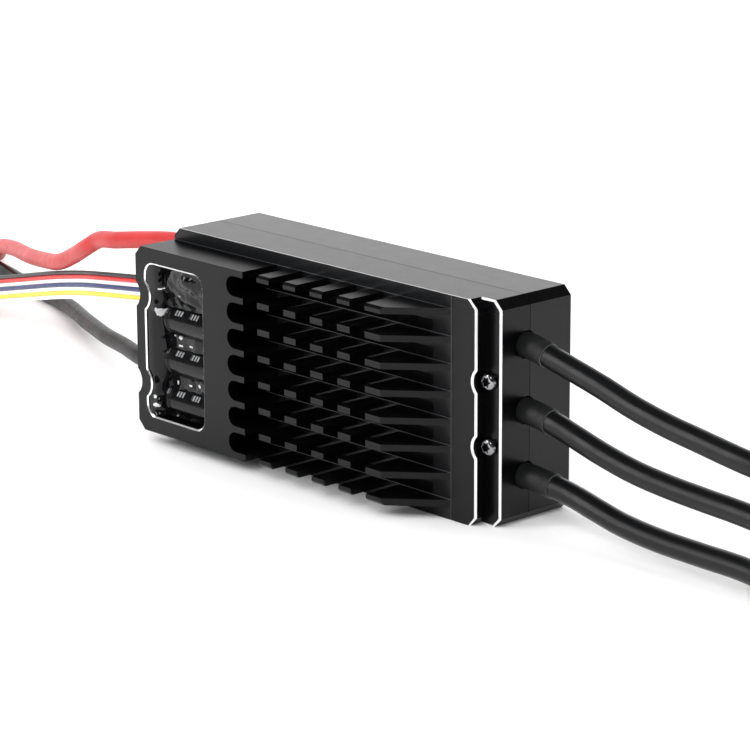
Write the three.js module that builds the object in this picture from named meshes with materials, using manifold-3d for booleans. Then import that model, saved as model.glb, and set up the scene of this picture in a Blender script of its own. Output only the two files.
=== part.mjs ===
// A high-current electronic speed controller for a brushless motor, in millimetres, +Z up.
// It stands on a long narrow side. +X is the end with the three phase leads, -X is the end with the
// battery leads and the signal ribbon, -Y is the finned side, and +Y is the flat mounting side.
import * as THREE from "three";
import { mergeVertices } from "three/addons/utils/BufferGeometryUtils.js";
import Module from "manifold-3d";

const wasm = await Module();
wasm.setup();

// ---- Driving dimensions ----
const HEIGHT = 61; // Z, the width of the controller when it lies on its mounting side
const BLOCK_LEFT = -65; // left end of the raised front block
const BODY_LEFT = -62.5; // left end of the two housing halves
const BODY_RIGHT = 65;
const FRONT = -21; // face of the fins and of the front block
const PLATEAU = -8.6; // flat face that the fins rise from
const SHELF = -4.8; // lower step at the right end, under the screw heads
const SEAM = 5.8; // where the two halves meet
const BACK = 21; // mounting face
const SEAM_GAP = 0.15;
const CENTRE_Z = HEIGHT / 2;

const BODY_CHAMFER = 2.4;
const BLOCK_STEP = 3.6; // how far the front block stays inside the body, top and bottom
const BLOCK_CHAMFER = 2.6;
const EDGE_CHAMFER = 0.5; // the bright cut edges
const RIM_CHAMFER = { depth: 0.3, width: 0.45 }; // the finer one round the window
const PLATEAU_RIGHT = 59.8;

const FIN_PITCH = 7.4;
const FIN_GAPS = 7;
const SLOT_WIDTH = 5.65;
const SLOT_LEFT = -22.35; // centre of the round left end of each fin slot
// The deep channel in the lower part of each gap, measured from the gap's middle.
const CHANNEL = { left: -22.3, right: 43.9, low: -2.625, high: 0.475, floor: PLATEAU + 4.5 };
const CROSS_WIDTH = 5.9;
const CROSS_PITCH = 10.8;
const CROSS_COUNT = 5;
const FIRST_CROSS = -18.2; // left wall of the first cross slot, the right end of the front block
const RAMP_TOP = 36.8;
const RAMP_END = 50.6;
const FIN_EDGE_CHAMFER = 0.7;

const WINDOW = { left: -60.8, right: -35.9, low: 8.4, high: 52.75, corner: 3.4 };
const BAY = { front: -18, low: 7.2, high: 53.8 }; // the wider room below the window's rim
const SCALLOP_SPREAD = 12.75; // from mid-height to the centre of each scallop at the left end
const WINDOW_SCALLOP = { depth: 2.1, radius: 5.2 };
const WALL_SCALLOP = { depth: 1.8, radius: 4.6 };

const END_WALL_LEFT = 6;
const END_WALL_RIGHT = 6;
const SIDE_WALL = 3;
const CAVITY_FRONT = PLATEAU + 6;
const COVER_FLOOR = BACK - 2.5;

const SCREW_X = 61.3; // the two screws on the shelf
const SCREW_SPREAD = 8.8;
const SCREW_SCALLOP = { depth: 1.4, radius: 3.9 };
const REAR_SCREW_X = -59.4; // the two screws in the mounting side
const SCREW = { head: 2.4, headHeight: 1.7, shank: 1.25, clearance: 1.55 };

const PHASE_Z = [48.1, 30.45, 12.8];
const PHASE_Y = 4.5; // the phase holes lie mostly in the finned half
const PHASE_HOLE = 3.75; // radii
const PHASE_CREST = 3.94;
const PHASE_SLEEVE = 3.45;
const PHASE_WIRE = 3.1;
const POWER_Z = { red: 51.5, black: 9.5 };
const POWER_WIRE = 2.6;
const POWER_HOLE = 3.3;
const SIGNAL_Z = 37;
const RIBBON = { width: 8.9, thickness: 1.3 };

const CAPACITOR = { radius: 5, length: 20, y: PLATEAU - 5, x: -56.5, pitch: 11.8, count: 4 };
const RESIN_FACE = PLATEAU - 8.4;
const CLEAR = 0.3;

// ---- Leads: points along each route, from the sleeve or grommet outwards ----
const SLEEVE_ENDS = [
  [73, 46.6],
  [74.1, 29.2],
  [75.6, 12],
];
const PHASE_SLEEVE_ROUTES = PHASE_Z.map((z, i) => {
  const [endX, endZ] = SLEEVE_ENDS[i];
  return [
    [58.5, PHASE_Y, z],
    [62, PHASE_Y, z],
    [65.5, PHASE_Y, z - 0.05],
    [(66 + endX) / 2, PHASE_Y, z - (z - endZ) * 0.42],
    [endX, PHASE_Y, endZ],
  ];
});
const PHASE_ROUTES = [
  [
    [73.3, 4.5, 46.5], [77, 4.5, 45.7], [82, 4.5, 44.5], [92, 4.5, 42], [102.9, 4.5, 38.9],
    [113.7, 4.5, 36.6], [125.4, 4.5, 34.8], [138.1, 4.5, 32.9], [148, 5.4, 31.2], [158, 7.4, 28.3],
    [169, 10.4, 23.4], [179, 13.6, 16.8], [187, 16, 10.7], [194, 17.8, 6.2], [201, 19.4, 3.9],
    [208, 20.9, 3.6], [212, 21.7, 3.6],
  ],
  [
    [74.4, 4.5, 29.1], [78, 4.5, 28.3], [82, 4.5, 27.2], [92.1, 4.5, 24.5], [103.2, 4.5, 22.2],
    [114.3, 4.5, 20.9], [126.1, 4.5, 20.1], [138.7, 4.5, 19.4], [150, 4.5, 18.2], [162, 4.5, 15.3],
    [173, 4.5, 11.3], [183, 4.5, 7.2], [192, 4.5, 4.5], [201, 4.5, 3.65], [210, 4.5, 3.6],
    [217, 4.5, 3.6],
  ],
  [
    [75.9, 4.5, 11.9], [80, 4.5, 11.4], [84.2, 4.5, 10.6], [91.2, 4.5, 9], [99.4, 4.5, 7.3],
    [111.2, 4.5, 6.1], [126.8, 4.5, 5.6], [139.3, 4.4, 5.4], [150, 3.7, 4.6], [161, 1.7, 3.9],
    [172, -1.1, 3.6], [183, -4.1, 3.6], [194, -6.9, 3.6], [205, -9.4, 3.6], [217, -11.9, 3.6],
  ],
];
const RED_ROUTE = [
  [-64, 5.8, 51.5], [-72, 5.8, 51.8], [-81.6, 5.8, 51.6], [-96.7, 5.8, 49.4], [-108.5, 6.2, 47.3],
  [-120.5, 8.9, 45], [-126.5, 9.2, 42], [-140.5, 14.2, 36], [-154, 18.8, 31], [-173, 27.2, 27],
  [-195, 37.6, 23], [-225.5, 53.4, 18], [-247, 64, 13.6], [-261.5, 73.4, 8.6], [-271, 79, 4.6],
  [-279, 83, 2.9], [-286, 86.5, 2.7],
];
const BLACK_ROUTE = [
  [-64, 5.8, 9.5], [-74, 6.2, 9.7], [-88, 8.7, 9.8], [-100, 12.2, 9.7], [-111, 15.4, 9.5],
  [-125.1, 21.1, 8.8], [-141.5, 27.4, 7.5], [-156.5, 34.4, 6.2], [-171.2, 41.4, 5],
  [-191, 51, 3.7], [-204.5, 56.4, 2.9], [-231.5, 62.9, 2.7], [-250, 68, 2.7], [-262, 71, 2.7],
  [-275, 74, 2.7],
];
const RIBBON_ROUTE = [
  [-64.5, 5.8, 37], [-72, 5.8, 36.9], [-84, 6.2, 35.5], [-100.5, 7.4, 33.4], [-123.5, 10.4, 30],
  [-135, 13.4, 27.8], [-148, 16.9, 25], [-159.5, 19.4, 22.4], [-180, 23.9, 17.4],
  [-198.5, 27.9, 12.9], [-207, 30, 10.6],
];
const RIBBON_TAIL_ROUTE = [
  [-207.8, 30.2, 10.4], [-220, 33.6, 6.4], [-232, 37, 3.4], [-243, 40.2, 1.9], [-254, 43.5, 1.4],
  [-266, 47, 1.4],
];

// ---- Colours and finishes ----
const finish = (color, roughness, metalness) =>
  new THREE.MeshStandardMaterial({ color, roughness, metalness });
const ANODISED = finish(0x1c1d1f, 0.45, 0.8);
const STEEL = finish(0x8d8f92, 0.3, 1);
const COPPER = finish(0xb8703c, 0.35, 1);
const TIN = finish(0xc9cacc, 0.3, 1);
const GOLD = finish(0xd8b25a, 0.25, 1);
const SLEEVE = finish(0x151516, 0.55, 0);
const BLACK_SILICONE = finish(0x101012, 0.35, 0);
const RED_SILICONE = finish(0xc81f23, 0.4, 0);
const RIBBON_PLASTIC = finish(0xd8d8d8, 0.5, 0);
const BLACK_PLASTIC = finish(0x141414, 0.5, 0);
const BOARD = finish(0x123a24, 0.5, 0);
const EPOXY = finish(0x1a1a1c, 0.6, 0);
const RESIN = finish(0x0c0c0e, 0.08, 0);
const PAD = finish(0x8fa5b8, 0.8, 0);

const part = new THREE.Group();
const add = (name, geometry, material) => {
  const mesh = new THREE.Mesh(geometry, material);
  mesh.name = name;
  part.add(mesh);
  return mesh;
};

// ---- Solids ----
const AXES = {
  x: new THREE.Matrix4().set(0, 0, 1, 0, 1, 0, 0, 0, 0, 1, 0, 0, 0, 0, 0, 1),
  y: new THREE.Matrix4().makeRotationX(Math.PI / 2),
};

// An outline in (X, Z) extruded along Y from low to high. A bevel widens it behind its caps.
function prismY(outline, low, high, bevel = 0, bevelWidth = bevel) {
  const options = { depth: high - low - bevel * 2, curveSegments: 10, bevelEnabled: bevel > 0 };
  Object.assign(options, { bevelSize: bevelWidth, bevelThickness: bevel, bevelSegments: 1 });
  const geometry = new THREE.ExtrudeGeometry(outline, options);
  return geometry.applyMatrix4(AXES.y).translate(0, high - bevel, 0);
}

// An outline in (Y, Z) extruded along X from low to high.
function prismX(outline, low, high) {
  const geometry = new THREE.ExtrudeGeometry(outline, { depth: high - low, bevelEnabled: false });
  return geometry.applyMatrix4(AXES.x).translate(low, 0, 0);
}

const box = (low, high) => {
  const size = high.map((value, i) => value - low[i]);
  const middle = high.map((value, i) => (value + low[i]) / 2);
  return new THREE.BoxGeometry(...size).translate(...middle);
};

const cylinderY = (x, z, radius, low, high, sides = 32) =>
  new THREE.CylinderGeometry(radius, radius, high - low, sides).translate(x, (low + high) / 2, z);

const cylinderX = (y, z, radius, low, high, sides = 32) => {
  const geometry = new THREE.CylinderGeometry(radius, radius, high - low, sides);
  return geometry.rotateZ(Math.PI / 2).translate((low + high) / 2, y, z);
};

const polygon = (points) => new THREE.Shape(points.map(([a, b]) => new THREE.Vector2(a, b)));

function toSolid(geometry) {
  const bare = geometry.clone();
  bare.deleteAttribute("normal");
  bare.deleteAttribute("uv");
  const merged = mergeVertices(bare, 1e-4);
  const vertProperties = merged.attributes.position.array;
  const triVerts = new Uint32Array(merged.index.array);
  return new wasm.Manifold(new wasm.Mesh({ numProp: 3, vertProperties, triVerts }));
}

function toGeometry(solid) {
  const mesh = solid.getMesh();
  const geometry = new THREE.BufferGeometry();
  geometry.setAttribute("position", new THREE.BufferAttribute(mesh.vertProperties, 3));
  geometry.setIndex(new THREE.BufferAttribute(mesh.triVerts, 1));
  return geometry;
}

// The joined geometries of the first list with those of the second cut away.
function carve(joined, cuts) {
  let solid = joined.map(toSolid).reduce((a, b) => a.add(b));
  for (const cut of cuts) solid = solid.subtract(toSolid(cut));
  return toGeometry(solid);
}

// ---- Outlines in (X, Z) ----
const chamfered = (left, right, low, high, c) => [
  [left + c, low], [right - c, low], [right, low + c], [right, high - c],
  [right - c, high], [left + c, high], [left, high - c], [left, low + c],
];

const bodyOutline = () => polygon(chamfered(BODY_LEFT, BODY_RIGHT, 0, HEIGHT, BODY_CHAMFER));

// Points of a round dent in a wall at x, centred at mid, listed upwards; side +1 dents towards +X.
function dent(x, mid, { depth, radius }, side) {
  const centre = x - side * (radius - depth);
  const half = Math.acos((radius - depth) / radius);
  const steps = 8;
  const points = [];
  for (let i = 0; i <= steps; i++) {
    const angle = -half + (2 * half * i) / steps;
    points.push([centre + side * radius * Math.cos(angle), mid + radius * Math.sin(angle)]);
  }
  return points;
}

const SCALLOP_ZS = [CENTRE_Z - SCALLOP_SPREAD, CENTRE_Z + SCALLOP_SPREAD];

function blockOutline() {
  const low = BLOCK_STEP;
  const high = HEIGHT - BLOCK_STEP;
  const dents = SCALLOP_ZS.flatMap((z) => dent(BLOCK_LEFT, z, WALL_SCALLOP, 1)).reverse();
  return polygon([
    [BLOCK_LEFT + BLOCK_CHAMFER, low], [RAMP_END, low], [RAMP_END, high],
    [BLOCK_LEFT + BLOCK_CHAMFER, high], [BLOCK_LEFT, high - BLOCK_CHAMFER],
    ...dents, [BLOCK_LEFT, low + BLOCK_CHAMFER],
  ]);
}

function windowOutline(grow) {
  const left = WINDOW.left - grow;
  const right = WINDOW.right + grow;
  const low = WINDOW.low - grow;
  const high = WINDOW.high + grow;
  const r = WINDOW.corner + grow;
  const corner = (x, z, start) =>
    [0, 1, 2, 3, 4, 5].map((i) => {
      const angle = ((start + i * 18) * Math.PI) / 180;
      return [x + r * Math.cos(angle), z + r * Math.sin(angle)];
    });
  const shape = { depth: WINDOW_SCALLOP.depth, radius: WINDOW_SCALLOP.radius - grow };
  const dents = SCALLOP_ZS.flatMap((z) => dent(left, z, shape, 1)).reverse();
  return polygon([
    ...corner(left + r, low + r, 180), ...corner(right - r, low + r, 270),
    ...corner(right - r, high - r, 0), ...corner(left + r, high - r, 90), ...dents,
  ]);
}

// What the shelf takes away: right of the plateau, with a scallop round each screw head.
function shelfOutline() {
  const edge = PLATEAU_RIGHT;
  const beyond = BODY_RIGHT + 5;
  const scallops = screwZs(SCREW_SPREAD).flatMap((z) => dent(edge, z, SCREW_SCALLOP, -1));
  return polygon([
    [edge - BODY_CHAMFER - 5, -5], [beyond, -5], [beyond, HEIGHT + 5],
    [edge - BODY_CHAMFER - 5, HEIGHT + 5], [edge, HEIGHT - BODY_CHAMFER],
    ...scallops.reverse(), [edge, BODY_CHAMFER],
  ]);
}

const slotOutline = (z, left, right, width) => {
  const r = width / 2;
  const points = [[right, z - r], [right, z + r]];
  const steps = 10;
  for (let i = 0; i <= steps; i++) {
    const angle = Math.PI / 2 + (Math.PI * i) / steps;
    points.push([left + r * Math.cos(angle), z + r * Math.sin(angle)]);
  }
  return polygon(points);
};

// A straight channel whose far end has two rounded corners.
function channelOutline(z) {
  const { left, right } = CHANNEL;
  const low = z + CHANNEL.low;
  const high = z + CHANNEL.high;
  const corner = (x, y, r, start) =>
    [0, 1, 2, 3].map((i) => {
      const angle = ((start + i * 30) * Math.PI) / 180;
      return [x + r * Math.cos(angle), y + r * Math.sin(angle)];
    });
  return polygon([
    [left, low], ...corner(right - 1, low + 1, 1, 270),
    ...corner(right - 0.5, high - 0.5, 0.5, 0), [left, high],
  ]);
}

// A round hole in (Y, Z) with a small pointed notch where the seam crosses it.
function notchedHole(z) {
  const seamAngle = Math.acos((SEAM - PHASE_Y) / PHASE_CREST);
  const touch = Math.acos(PHASE_HOLE / PHASE_CREST);
  const point = (radius, angle) => [
    PHASE_Y + radius * Math.cos(angle),
    z + radius * Math.sin(angle),
  ];
  const arc = (from, to, steps) =>
    Array.from({ length: steps + 1 }, (_, i) => point(PHASE_HOLE, from + ((to - from) * i) / steps));
  return polygon([
    point(PHASE_CREST, seamAngle),
    ...arc(seamAngle + touch, 2 * Math.PI - seamAngle - touch, 16),
    point(PHASE_CREST, -seamAngle),
    ...arc(touch - seamAngle, seamAngle - touch, 8),
  ]);
}

const phaseHoles = () =>
  PHASE_Z.map((z) => prismX(notchedHole(z), BODY_RIGHT - END_WALL_RIGHT - 1, BODY_RIGHT + 1));

const SIGNAL_SLOT = { width: 10.6, thickness: 3.4 };
const leftHoles = () => [
  ...Object.values(POWER_Z).map((z) =>
    cylinderX(SEAM, z, POWER_HOLE, BODY_LEFT - 1, BODY_LEFT + END_WALL_LEFT + 1),
  ),
  box(
    [BODY_LEFT - 1, SEAM - SIGNAL_SLOT.thickness / 2, SIGNAL_Z - SIGNAL_SLOT.width / 2],
    [BODY_LEFT + END_WALL_LEFT + 1, SEAM + SIGNAL_SLOT.thickness / 2, SIGNAL_Z + SIGNAL_SLOT.width / 2],
  ),
];

const screwZs = (spread) => [CENTRE_Z - spread, CENTRE_Z + spread];
const SHELF_SCREW_END = SEAM + 8;
const REAR_SCREW_END = SEAM - 6;
const REAR_HEAD_SEAT = BACK - 2;

// ---- Housing halves ----
function heatsinkHousing() {
  const cuts = [];
  // The bright cut edge above the shelf.
  cuts.push(prismY(shelfOutline(), PLATEAU - 3, PLATEAU + EDGE_CHAMFER, EDGE_CHAMFER));
  // Fins: long slots, the deep channels below them, and the cross slots.
  for (let i = 0; i < FIN_GAPS; i++) {
    const z = CENTRE_Z + (i - (FIN_GAPS - 1) / 2) * FIN_PITCH;
    cuts.push(prismY(slotOutline(z, SLOT_LEFT, BODY_RIGHT, SLOT_WIDTH), FRONT - 1, PLATEAU));
    cuts.push(prismY(channelOutline(z), PLATEAU - 1, CHANNEL.floor));
  }
  for (let i = 0; i < CROSS_COUNT; i++) {
    const x = FIRST_CROSS + i * CROSS_PITCH;
    cuts.push(box([x, FRONT - 1, -1], [x + CROSS_WIDTH, PLATEAU, HEIGHT + 1]));
  }
  // The slope that the last fins run down.
  const rise = (PLATEAU - FRONT) / (RAMP_END - RAMP_TOP);
  const slope = new THREE.Shape(
    [
      [RAMP_TOP - 1 / rise, FRONT - 1],
      [RAMP_END, PLATEAU],
      [BODY_RIGHT, PLATEAU],
      [BODY_RIGHT, FRONT - 1],
    ].map(([x, y]) => new THREE.Vector2(x, y)),
  );
  const wedge = new THREE.ExtrudeGeometry(slope, { depth: HEIGHT + 2, bevelEnabled: false });
  cuts.push(wedge.translate(0, 0, -1));
  // Small chamfers along the outer edges of the first and last fins.
  for (const side of [-1, 1]) {
    const z = CENTRE_Z + side * (CENTRE_Z - BLOCK_STEP);
    const strip = new THREE.BoxGeometry(RAMP_END - FIRST_CROSS, 1, 1);
    const size = FIN_EDGE_CHAMFER * Math.SQRT2;
    strip.scale(1, size, size).rotateX(Math.PI / 4);
    cuts.push(strip.translate((RAMP_END + FIRST_CROSS) / 2, FRONT, z));
  }
  // The capacitor bay with its bright rim, and the cavity behind the seam face.
  cuts.push(prismY(windowOutline(0), FRONT - 1, CAVITY_FRONT + 1));
  const { depth, width } = RIM_CHAMFER;
  cuts.push(prismY(windowOutline(0), FRONT - 3, FRONT + depth, depth, width));
  cuts.push(box([WINDOW.left, BAY.front, BAY.low], [WINDOW.right, CAVITY_FRONT + 1, BAY.high]));
  cuts.push(
    box(
      [BODY_LEFT + END_WALL_LEFT, CAVITY_FRONT, SIDE_WALL],
      [BODY_RIGHT - END_WALL_RIGHT, SEAM + 1, HEIGHT - SIDE_WALL],
    ),
  );
  cuts.push(...phaseHoles(), ...leftHoles());
  for (const z of screwZs(SCREW_SPREAD))
    cuts.push(cylinderY(SCREW_X, z, SCREW.clearance, FRONT, SEAM + 1, 20));
  for (const z of screwZs(SCALLOP_SPREAD))
    cuts.push(cylinderY(REAR_SCREW_X, z, SCREW.clearance, REAR_SCREW_END - CLEAR, SEAM + 1, 20));
  const shelf = prismY(shelfOutline(), PLATEAU - 1, SHELF + 3);
  const base = carve([prismY(bodyOutline(), PLATEAU, SHELF + 2)], [shelf]);
  const lower = prismY(bodyOutlineInset(), SHELF, SEAM + EDGE_CHAMFER * 2, EDGE_CHAMFER);
  cuts.push(box([-100, SEAM, -10], [100, SEAM + 10, HEIGHT + 10]));
  return carve([base, lower, prismY(blockOutline(), FRONT, PLATEAU + 1)], cuts);
}

// The body outline less the cut edge, which the bevel of prismY gives back.
function bodyOutlineInset() {
  const e = EDGE_CHAMFER;
  const c = BODY_CHAMFER - e * (2 - Math.SQRT2);
  return polygon(chamfered(BODY_LEFT + e, BODY_RIGHT - e, e, HEIGHT - e, c));
}

function rearCover() {
  const cuts = [
    box(
      [BODY_LEFT + END_WALL_LEFT, SEAM - 1, SIDE_WALL],
      [BODY_RIGHT - END_WALL_RIGHT, COVER_FLOOR, HEIGHT - SIDE_WALL],
    ),
    ...phaseHoles(),
    ...leftHoles(),
  ];
  for (const z of screwZs(SCREW_SPREAD))
    cuts.push(cylinderY(SCREW_X, z, SCREW.clearance, SEAM - 1, SHELF_SCREW_END + CLEAR, 20));
  for (const z of screwZs(SCALLOP_SPREAD)) {
    cuts.push(cylinderY(REAR_SCREW_X, z, SCREW.clearance, SEAM - 1, BACK + 1, 20));
    cuts.push(cylinderY(REAR_SCREW_X, z, SCREW.head + CLEAR, REAR_HEAD_SEAT, BACK + 1, 24));
  }
  return carve([prismY(bodyOutline(), SEAM + SEAM_GAP, BACK)], cuts);
}

// A round-headed screw along Y with a star socket; the head faces the side given by sign.
function screw(x, z, seat, end) {
  const sign = Math.sign(end - seat);
  const gap = 0.02 * sign;
  const top = seat - sign * SCREW.headHeight;
  const r = SCREW.head;
  const profile = [
    [0, 0], [r * 0.72, 0], [r * 0.92, 0.35], [r, 0.9], [r, SCREW.headHeight],
    [SCREW.shank, SCREW.headHeight], [SCREW.shank, Math.abs(end - top)], [0, Math.abs(end - top)],
  ].map(([radius, along]) => new THREE.Vector2(radius, along));
  const body = new THREE.LatheGeometry(profile, 24);
  const star = new THREE.Shape();
  for (let i = 0; i < 12; i++) {
    const angle = (i * Math.PI) / 6;
    const reach = i % 2 ? 0.86 : 1.2;
    const point = [reach * Math.cos(angle), reach * Math.sin(angle)];
    if (i) star.lineTo(...point);
    else star.moveTo(...point);
  }
  const socket = new THREE.ExtrudeGeometry(star, { depth: 2, bevelEnabled: false });
  socket.rotateX(Math.PI / 2).translate(0, 1, 0);
  const made = toGeometry(toSolid(body).subtract(toSolid(socket)));
  if (sign < 0) made.rotateX(Math.PI);
  return made.translate(x, top - gap, z);
}

add("heatsink_housing", heatsinkHousing(), ANODISED);
add("rear_cover", rearCover(), ANODISED);
screwZs(SCREW_SPREAD).forEach((z, i) =>
  add(["shelf_screw_lower", "shelf_screw_upper"][i], screw(SCREW_X, z, SHELF, SHELF_SCREW_END), STEEL),
);
screwZs(SCALLOP_SPREAD).forEach((z, i) => {
  const name = ["rear_screw_lower", "rear_screw_upper"][i];
  add(name, screw(REAR_SCREW_X, z, REAR_HEAD_SEAT, REAR_SCREW_END), STEEL);
});

// ---- Capacitor bay ----
function capacitor(x, y, z) {
  const { radius: r, length } = CAPACITOR;
  const profile = [
    [0, 0], [r - 0.5, 0], [r, 0.5], [r, 1.5], [r - 0.4, 2.1], [r, 2.7], [r, length - 0.4],
    [r - 0.4, length], [0, length],
  ].map(([radius, along]) => new THREE.Vector2(radius, along));
  const geometry = new THREE.LatheGeometry(profile, 24);
  return geometry.rotateZ(-Math.PI / 2).translate(x, y, z);
}

const CAPACITOR_ZS = Array.from(
  { length: CAPACITOR.count },
  (_, i) => CENTRE_Z + (i - (CAPACITOR.count - 1) / 2) * CAPACITOR.pitch,
);
CAPACITOR_ZS.forEach((z, i) =>
  add("capacitor_" + (i + 1), capacitor(CAPACITOR.x, CAPACITOR.y, z), SLEEVE),
);

function pottingResin() {
  const cuts = CAPACITOR_ZS.map((z) => {
    const from = CAPACITOR.x - CLEAR;
    const to = CAPACITOR.x + CAPACITOR.length + CLEAR;
    return cylinderX(CAPACITOR.y, z, CAPACITOR.radius + CLEAR, from, to, 24);
  });
  return carve([prismY(windowOutline(-CLEAR), RESIN_FACE, CAVITY_FRONT)], cuts);
}
add("potting_resin", pottingResin(), RESIN);

// ---- Electronics inside ----
const PAD_FRONT = CAVITY_FRONT + 0.05;
const FET = { x: 10, y: 2.3, z: 12, firstX: -6, pitch: 14, columns: 4 };
const FET_FRONT = PAD_FRONT + 1.05;
const BOARD_FRONT = FET_FRONT + FET.y + 0.05;
const BOARD_BACK = BOARD_FRONT + 2;
const LOGIC_FRONT = 10.4;
const LOGIC_BACK = LOGIC_FRONT + 1.6;

add("thermal_pad", box([-14, PAD_FRONT, 5], [50, PAD_FRONT + 1, 56]), PAD);
["upper", "middle", "lower"].forEach((row, i) => {
  for (let j = 0; j < FET.columns; j++) {
    const x = FET.firstX + j * FET.pitch;
    const z = PHASE_Z[i] - FET.z / 2;
    const geometry = box([x - FET.x / 2, FET_FRONT, z], [x + FET.x / 2, FET_FRONT + FET.y, z + FET.z]);
    add(`mosfet_${row}_${j + 1}`, geometry, EPOXY);
  }
});
add("power_board", box([-32, BOARD_FRONT, 5], [57, BOARD_BACK, 56]), BOARD);

// A flat bar soldered along the power board, with a lug towards its battery lead.
function busbar(z, lugZ) {
  const bar = box([-40, BOARD_BACK + 0.05, z - 2.2], [40, BOARD_BACK + 2.5, z + 2.2]);
  const lug = box([-55.5, BOARD_BACK + 0.05, lugZ - 2.5], [-39, BOARD_BACK + 2.5, lugZ + 2.5]);
  return carve([bar, lug], []);
}
add("busbar_positive", busbar(53, POWER_Z.red), COPPER);
add("busbar_negative", busbar(8, POWER_Z.black), COPPER);

PHASE_Z.forEach((z, i) => {
  const foot = box([45, BOARD_BACK + 0.05, z - 3.5], [57.5, BOARD_BACK + 1.6, z + 3.5]);
  const cup = cylinderX(PHASE_Y, z, 3.2, 48, 58, 20);
  const web = box([48, BOARD_BACK + 1, z - 1.5], [57, PHASE_Y, z + 1.5]);
  const trim = box([40, PLATEAU, 0], [60, BOARD_BACK + 0.05, HEIGHT]);
  add("phase_terminal_" + "abc"[i], carve([foot, cup, web], [trim]), COPPER);
});

add("control_board", box([-45, LOGIC_FRONT, 8], [44, LOGIC_BACK, 53]), BOARD);
[[-30, 45], [-30, 16], [38, 39], [38, 21.5]].forEach(([x, z], i) =>
  add("board_standoff_" + (i + 1), cylinderY(x, z, 2.5, BOARD_BACK + 0.05, LOGIC_FRONT - 0.05, 6), TIN),
);
add("board_link_header", box([8, BOARD_BACK + 0.05, 18], [13, LOGIC_FRONT - 0.05, 43]), BLACK_PLASTIC);
add("signal_socket", box([-44, SEAM - 2, 31.5], [-34, LOGIC_FRONT - 0.05, 42.5]), BLACK_PLASTIC);
add("microcontroller", box([-8, LOGIC_BACK + 0.05, 25.5], [2, LOGIC_BACK + 1.35, 35.5]), EPOXY);
PHASE_Z.forEach((z, i) => {
  const geometry = box([26, LOGIC_BACK + 0.05, z - 3], [32, LOGIC_BACK + 1.05, z + 3]);
  add("gate_driver_" + "abc"[i], geometry, EPOXY);
});

// ---- Leads ----
const curveOf = (route) =>
  new THREE.CatmullRomCurve3(route.map((point) => new THREE.Vector3(...point)), false, "centripetal");

function tube(route, radius, sides, stepsPerDiameter = 0.4) {
  const curve = curveOf(route);
  const steps = Math.ceil((curve.getLength() / radius / 2) * stepsPerDiameter);
  const ring = Array.from({ length: sides }, (_, i) => {
    const angle = (2 * Math.PI * i) / sides;
    return [radius * Math.cos(angle), radius * Math.sin(angle)];
  });
  return new THREE.ExtrudeGeometry(polygon(ring), { steps, extrudePath: curve });
}

PHASE_Z.forEach((z, i) => {
  const letter = "abc"[i];
  const route = PHASE_ROUTES[i];
  add("phase_sleeve_" + letter, tube(PHASE_SLEEVE_ROUTES[i], PHASE_SLEEVE, 16, 3), SLEEVE);
  add("phase_lead_" + letter, tube(route, PHASE_WIRE, 10), BLACK_SILICONE);
  const end = new THREE.Vector3(...route[route.length - 1]);
  const heading = curveOf(route).getTangent(1);
  const profile = [
    [0, 0], [3.3, 0], [3.4, 7], [3.6, 7.4], [3.6, 8.4], [3, 8.8], [3, 18.6], [2.2, 20], [0, 20],
  ].map(([radius, along]) => new THREE.Vector2(radius, along));
  const bullet = new THREE.LatheGeometry(profile, 20).rotateZ(-Math.PI / 2);
  const mesh = add("phase_bullet_" + letter, bullet, GOLD);
  mesh.position.copy(end).addScaledVector(heading, CLEAR);
  mesh.rotation.z = Math.atan2(heading.y, heading.x);
});

function grommet(z) {
  const neck = cylinderX(SEAM, z, POWER_HOLE - CLEAR, BODY_LEFT - 0.5, BODY_LEFT + END_WALL_LEFT, 24);
  const flange = cylinderX(SEAM, z, POWER_HOLE + 0.7, BODY_LEFT - 1.2, BODY_LEFT - 0.05, 24);
  return carve([neck, flange], []);
}
add("grommet_positive", grommet(POWER_Z.red), BLACK_PLASTIC);
add("grommet_negative", grommet(POWER_Z.black), BLACK_PLASTIC);
add("battery_lead_red", tube(RED_ROUTE, POWER_WIRE, 10), RED_SILICONE);
add("battery_lead_black", tube(BLACK_ROUTE, POWER_WIRE, 10), BLACK_SILICONE);

const slab = (low, high, halfY, halfZ) =>
  box([low, SEAM - halfY, SIGNAL_Z - halfZ], [high, SEAM + halfY, SIGNAL_Z + halfZ]);
const neckZ = SIGNAL_SLOT.width / 2 - CLEAR;
const neckY = SIGNAL_SLOT.thickness / 2 - CLEAR;
const signalGrommet = [
  slab(BODY_LEFT - 0.5, BODY_LEFT + END_WALL_LEFT, neckY, neckZ),
  slab(BODY_LEFT - 1.6, BODY_LEFT - 0.05, neckY + 1, neckZ + 1),
];
add("signal_grommet", carve(signalGrommet, []), BLACK_PLASTIC);

// A flat section, measured along the normal of the route and across it.
function ribbon(route, along, across) {
  const curve = curveOf(route);
  const section = polygon(chamfered(-along / 2, along / 2, -across / 2, across / 2, 0.3));
  return new THREE.ExtrudeGeometry(section, { steps: 24, extrudePath: curve });
}
add("signal_ribbon", ribbon(RIBBON_ROUTE, RIBBON.thickness, RIBBON.width), RIBBON_PLASTIC);
add("signal_ribbon_tail", ribbon(RIBBON_TAIL_ROUTE, RIBBON.width, RIBBON.thickness), RIBBON_PLASTIC);

const plugEnd = RIBBON_TAIL_ROUTE[RIBBON_TAIL_ROUTE.length - 1];
const plugHeading = curveOf(RIBBON_TAIL_ROUTE).getTangent(1);
const plug = add("signal_plug", box([0, -9, -1.3], [14, 9, 1.3]), BLACK_PLASTIC);
plug.position.set(...plugEnd).addScaledVector(plugHeading, CLEAR).setZ(1.35);
plug.rotation.z = Math.atan2(plugHeading.y, plugHeading.x);

export default part;
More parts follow.
